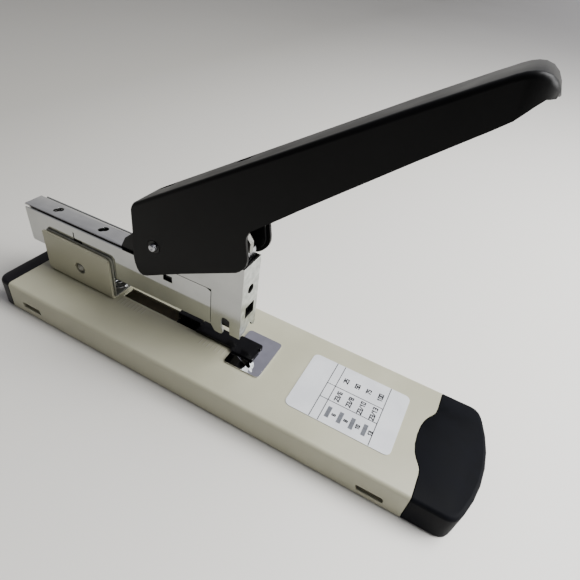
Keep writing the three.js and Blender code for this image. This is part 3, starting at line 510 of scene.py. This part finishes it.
# %% Pins
def pin_points(middle, half, radius, sides=48):
    """Rows of (distance from the end, share of the radius), mirrored at the middle, turned
    round an axis along Y."""
    depth = np.array([0.35, 0.3, 0.1, 0.0, 0.04, 0.2, 0.55])
    share = np.array([0.01, 0.2, 0.4, 0.55, 0.76, 0.92, 1.0])
    y = np.concatenate([depth - half, half - depth[::-1]])[:, None]
    reach = radius * np.concatenate([share, share[::-1]])[:, None]
    around = 2 * np.pi * np.arange(sides)[None] / sides
    x = middle[0] + reach * np.cos(around)
    z = middle[2] + reach * np.sin(around)
    return np.stack([x, middle[1] + y + 0 * x, z], axis=-1)


for name in ("arm_pivot_pin", "handle_pivot_pin"):
    low, high = (np.array(corner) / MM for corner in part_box(name))
    points = pin_points((low + high) / 2, (high[1] - low[1]) / 2, (high[0] - low[0]) / 2)
    piece = skin(name + "_turned", points, around=True, caps=True)
    # the arm's pin takes the darker satin steel, partly as painted shade for its hole
    material = satin_steel if name == "arm_pivot_pin" else zinc_plate
    settle(piece, material, body_of[name], slots[name], name)

# %% [markdown]
# The staples are glued side by side into a strip. Its skin is the outline of one staple,
# carried along the magazine, and it swells over each wire and dips between two.

# %% Staples
DIP_MM = 0.12


def strip_points(rear, front, half, top, legs, corner, pitch):
    """The outline is a line with two quarter circles. It is moved outwards by the height of
    a flat arch over each wire: depth * sqrt(1 - s * s), s running from -1 to 1 across it."""
    turn = np.linspace(0, np.pi / 2, 4)
    arc = corner * np.stack([-np.sin(turn), np.cos(turn)], axis=-1)[::-1]
    left = np.array([corner - half, top - corner]) + arc
    outline = np.vstack([[-half, legs], left, left[::-1] * (-1, 1), [half, legs]])
    facing = np.vstack([[-1, 0], arc / corner, arc[::-1] / corner * (-1, 1), [1, 0]])
    wires = int((front - rear) / pitch)
    across = np.tile([-1, -0.8, 0, 0.8], wires)
    x = rear + pitch * (np.repeat(np.arange(wires), 4) + (across + 1) / 2)
    swell = DIP_MM * (np.sqrt(1 - across**2) - 1)
    section = outline[None] + swell[:, None, None] * facing[None]
    return np.concatenate([np.repeat(x[:, None, None], len(outline), 1), section], axis=-1)


# %% [markdown]
# The arm was drawn level, in millimetres from the stapler's rear. Turning a point round
# the arm's pivot by the tilt, and moving it from the rear to the middle, puts it in place.

# %% The strip in the arm
PIVOT = np.array([35.0, 0, 30.8])
TO_PART = np.array([-134.0, 0, 0])
STAPLE_WIRE_MM = 0.45


def onto_arm(points):
    """From the level arm of the drawing to the arm as it stands, nose up by its tilt."""
    across, _, up = np.moveaxis(points - PIVOT, -1, 0)
    x = across * math.cos(TILT) - up * math.sin(TILT)
    z = across * math.sin(TILT) + up * math.cos(TILT)
    return np.stack([x, points[..., 1], z], axis=-1) + PIVOT + TO_PART


strip = strip_points(
    rear=88, front=139.1, half=6.5, top=45.6, legs=35.6, corner=0.6, pitch=0.65
)
staples = skin("staple_strip_wires", onto_arm(strip))
wall = staples.modifiers.new("wire_thickness", "SOLIDIFY")
wall.thickness = STAPLE_WIRE_MM * MM
wall.offset = -1
settle(staples, staple_wire, "tray", slots["staple_strip"], "staple_strip")

# %% [markdown]
# The label is printed with a plain table: thin rules, and numbers for the sizes and sheets.
# Figures that small are drawn as pen strokes. Here are their strokes, from one corner to
# the next, on a grid that is one unit wide and two high.

# %% Figures as strokes
figure_strokes = {
    "0": [(0, 0, 1, 0), (1, 0, 1, 2), (1, 2, 0, 2), (0, 2, 0, 0)],
    "1": [(0.5, 0, 0.5, 2), (0.5, 2, 0.1, 1.6)],
    "2": [(0, 2, 1, 2), (1, 2, 1, 1.1), (1, 1.1, 0, 0), (0, 0, 1, 0)],
    "3": [(0, 2, 1, 2), (1, 2, 1, 0), (1, 0, 0, 0), (0.3, 1, 1, 1)],
    "5": [(1, 2, 0, 2), (0, 2, 0, 1.1), (0, 1.1, 1, 1.1), (1, 1.1, 1, 0), (1, 0, 0, 0)],
    "6": [(1, 2, 0, 2), (0, 2, 0, 0), (0, 0, 1, 0), (1, 0, 1, 1), (1, 1, 0, 1)],
    "7": [(0, 2, 1, 2), (1, 2, 0.4, 0)],
    "8": [(0, 0, 1, 0), (1, 0, 1, 2), (1, 2, 0, 2), (0, 2, 0, 0), (0, 1, 1, 1)],
    "/": [(0, 0, 1, 2)],
}
FIGURE_MM, SMALL_FIGURE_MM = 2.2, 1.7
ADVANCE = 0.78
PEN_MM, RULE_MM, PICTURE_MM = 0.6, 0.42, 2.2
bars, grey_bars = [], []


def write_number(text, x, y, height=FIGURE_MM):
    """Adds the strokes of a number, centred on a place and read towards the far side."""
    advance = ADVANCE * height
    start = y - advance * len(text) / 2
    for i, figure in enumerate(text):
        for u1, v1, u2, v2 in figure_strokes[figure]:
            u = start + advance * i + np.array([u1, u2]) * 0.5 * height
            v = x + height / 2 - np.array([v1, v2]) * 0.5 * height
            bars.append((v[0], u[0], v[1], u[1], PEN_MM))


# %% [markdown]
# Each row of the table says how many sheets a staple holds together, what size it is and
# how long its legs are. A grey bar stands for the small picture of the staple.

# %% Table of the label
TABLE_X, TABLE_Y = (57.7, 89.3), 19.6
HEAD_RULE_X, COLUMN_RULES_Y = 62.4, (4.4, -5.7)
SHEETS_Y, SIZE_Y, LENGTH_Y = 11.1, -0.8, -12.6
PICTURE_FROM_Y, PICTURE_TO_Y = -15.0, -10.2
PICTURE_ASIDE, LENGTH_ASIDE = -0.9, 2.2
for x, sheets, size, length in (
    (66.3, "25", "23/6", "6"),
    (72.8, "50", "23/8", "8"),
    (79.2, "75", "23/10", "10"),
    (85.9, "100", "23/13", "13"),
):
    write_number(sheets, x, SHEETS_Y)
    write_number(size, x, SIZE_Y)
    write_number(length, x + LENGTH_ASIDE, LENGTH_Y, SMALL_FIGURE_MM)
    across = x + PICTURE_ASIDE
    grey_bars.append((across, PICTURE_FROM_Y, across, PICTURE_TO_Y, PICTURE_MM))
for x in (TABLE_X[0], HEAD_RULE_X, TABLE_X[1]):
    bars.append((x, -TABLE_Y, x, TABLE_Y, RULE_MM))
for y in COLUMN_RULES_Y:
    bars.append((TABLE_X[0], y, TABLE_X[1], y, RULE_MM))

# %% [markdown]
# Each stroke is a thin flat bar, and all bars of one print are a single mesh, worked out
# at once from the arrays of their ends. They lie a hair above the sheet under them and
# get the thickness of a film of ink.

# %% Bars of ink
LABEL_TOP = 18.4
INK_MM = 0.02


def bar_points(rows, height):
    """Each bar runs from one end to the other and half its width past both, so its corners
    are the ends plus or minus half a width along it and across it."""
    rows = np.array(rows)
    ends = rows[:, :4].reshape(-1, 2, 2)
    along = ends[:, 1] - ends[:, 0]
    along *= rows[:, 4:] / 2 / np.linalg.norm(along, axis=1, keepdims=True)
    across = along @ np.array([[0, 1], [-1, 0]])
    low, high = ends[:, 0] - along, ends[:, 1] + along
    flat = np.stack([low - across, high - across, high + across, low + across], axis=1)
    return np.concatenate([flat, np.full((*flat.shape[:2], 1), height)], axis=-1)


def print_bars(name, rows, height):
    """One mesh of separate flat bars, given a little thickness upwards."""
    points = bar_points(rows, height)
    data = bpy.data.meshes.new(name)
    faces = np.arange(len(points) * 4).reshape(-1, 4)
    data.from_pydata((points.reshape(-1, 3) * MM).tolist(), [], faces.tolist())
    piece = bpy.data.objects.new(name, data)
    bpy.context.scene.collection.objects.link(piece)
    depth = piece.modifiers.new("ink_film", "SOLIDIFY")
    depth.thickness = INK_MM * MM
    depth.offset = 1
    print(name, len(points), "bars")
    return piece


for name, rows, ink in (
    ("label_print", bars, label_ink),
    ("label_pictures", grey_bars, label_grey),
):
    settle(print_bars(name, rows, LABEL_TOP + INK_MM), ink, "base", "label")

# %% [markdown]
# Beside the slot the base carries two short scales of fine pressed lines, for setting the
# paper stop. Each line is drawn as a dark bar of painted shade for its groove, with a light
# bar of painted highlight for its lip beside it, a hair above the enamel.

# %% Stop scales
# painted shade and painted highlight: dark bars for the grooves, light bars for their lips
groove_shade = make_finish("groove_shade", ("858172", "8d8979"), 3, (0.5, 0.6), 0.6, 0.005)
lip_painted_highlight = make_finish("lip_painted_highlight", ("b4b1a2", "bbb8a9"), 3, (0.3, 0.4), 0.6, 0.005)
BASE_TOP, ABOVE_PAINT = 18.1, 0.01
SCALE_STARTS, MARKS, MARK_STEP = (-73.0, -15.0), 8, 2.5
MARK_NEAR, MARK_FAR, MARK_WIDTH = -5.6, -10.4, 0.3
places = [first + MARK_STEP * i for first in SCALE_STARTS for i in range(MARKS)]
for name, material, aside in (("grooves", groove_shade, 0), ("lips", lip_painted_highlight, 0.4)):
    marks = [(x + aside, MARK_NEAR, x + aside, MARK_FAR, MARK_WIDTH) for x in places]
    bars_of_scale = print_bars("scale_" + name, marks, BASE_TOP + ABOVE_PAINT)
    settle(bars_of_scale, material, "base", "base_paint")

# %% [markdown]
# What stays as it came from the solids is small or hidden, and its shape is already right.
# It only gets its finish.

# %% Finishes on the remaining solids
for name, node in nodes.items():
    if name not in replaced_names:
        for slot in node.material_slots:
            slot.material = own_finish.get(name, finishes[slots[name]])
print("solids kept:", sorted(set(nodes) - replaced_names))

# %% [markdown]
# The stapler stands on a pale desk, painted darker towards the stapler's rear as painted
# shade away from the window beyond its nose. This follows X and takes the place of the noise in
# its finish.

# %% Desk
PAINTED_SHADE_FROM, PAINTED_SHADE_TO = -0.4, 0.25
DESK_HALF_MM = 12000
# painted shade: the desk colour runs from the darker code at its rear to the lighter one
desk_paint = make_finish("desk_paint", ("b6b4ac", "ebe9e3"), 300, (0.5, 0.55), 3, 0.01)
desk_nodes = desk_paint.node_tree.nodes
place = add_node(desk_paint, "ShaderNodeTexCoord").outputs["Object"]
along_desk = add_node(desk_paint, "ShaderNodeSeparateXYZ", links={"Vector": place})
painted_falloff = add_node(
    desk_paint,
    "ShaderNodeMapRange",
    links={"Value": along_desk.outputs["X"]},
    inputs={
        "From Min": PAINTED_SHADE_FROM,
        "From Max": PAINTED_SHADE_TO,
        "To Min": NOISE_LOW,
        "To Max": NOISE_HIGH,
    },
)
desk_paint.node_tree.links.new(painted_falloff.outputs["Result"], desk_nodes["tone"].inputs["Fac"])
steps = np.linspace(-DESK_HALF_MM, DESK_HALF_MM, 9)
level = np.zeros((len(steps), len(steps)))
desk = skin("desk", np.stack([*np.meshgrid(steps, steps), level], axis=-1))
desk.data.materials.append(desk_paint)

# %% [markdown]
# The room has white walls. They are brightest low down and fade upwards to a dim ceiling,
# which is what the plated pieces mirror. They are also brighter on the far side of the
# stapler and beyond its nose, so the strength of the light follows its direction.

# %% Walls
BRIGHT_SIDE = (0.45, 0.9, 0)
DIM_WALL, BRIGHT_WALL = 0.15, 1.5
world = bpy.data.worlds.new("studio")
world.use_nodes = True
bpy.context.scene.world = world
heading = add_node(world, "ShaderNodeTexCoord").outputs["Generated"]
sides = add_node(world, "ShaderNodeSeparateXYZ", links={"Vector": heading})
walls = add_node(world, "ShaderNodeValToRGB", links={"Fac": sides.outputs["Z"]}, name="walls")
wall_shades = ((0.0, "e3e1dc"), (0.29, "c6c5c4"), (0.5, "aeaeb2"), (0.75, "9d9ca6"))
for _ in wall_shades[2:]:
    walls.color_ramp.elements.new(1.0)
for stop, (height, code) in zip(walls.color_ramp.elements, wall_shades):
    stop.position = height
    stop.color = linear(code)
towards = add_node(
    world,
    "ShaderNodeVectorMath",
    links={0: heading},
    inputs={1: BRIGHT_SIDE},
    operation="DOT_PRODUCT",
)
glow = add_node(
    world,
    "ShaderNodeMapRange",
    links={"Value": towards.outputs["Value"]},
    inputs={
        "From Min": -1.0,
        "From Max": 0.8,
        "To Min": DIM_WALL,
        "To Max": BRIGHT_WALL,
    },
)
background = world.node_tree.nodes["Background"]
world.node_tree.links.new(walls.outputs["Color"], background.inputs["Color"])
world.node_tree.links.new(glow.outputs["Result"], background.inputs["Strength"])

# %% [markdown]
# One soft ceiling light hangs a little behind the stapler and towards its nose, so the
# handle throws its soft shadow on the near side of the base. A second, larger one is the
# window beyond the nose. Places and widths are in metres, the power in watts.


# %% Lights
def soft_light(name, place, width, power):
    """A square light that faces the stapler."""
    data = bpy.data.lights.new(name, "AREA")
    data.shape = "SQUARE"
    data.size = width
    data.energy = power
    light = bpy.data.objects.new(name, data)
    light.location = place
    turn = math.atan2(place[1], place[0]) + math.pi / 2
    lean = math.atan2(math.hypot(place[0], place[1]), place[2])
    light.rotation_euler = (lean, 0, turn)
    bpy.context.scene.collection.objects.link(light)


soft_light("ceiling_light", (0.4, 0.2, 0.78), width=0.5, power=11)
soft_light("window_light", (1.3, 0.35, 0.75), width=0.9, power=30)
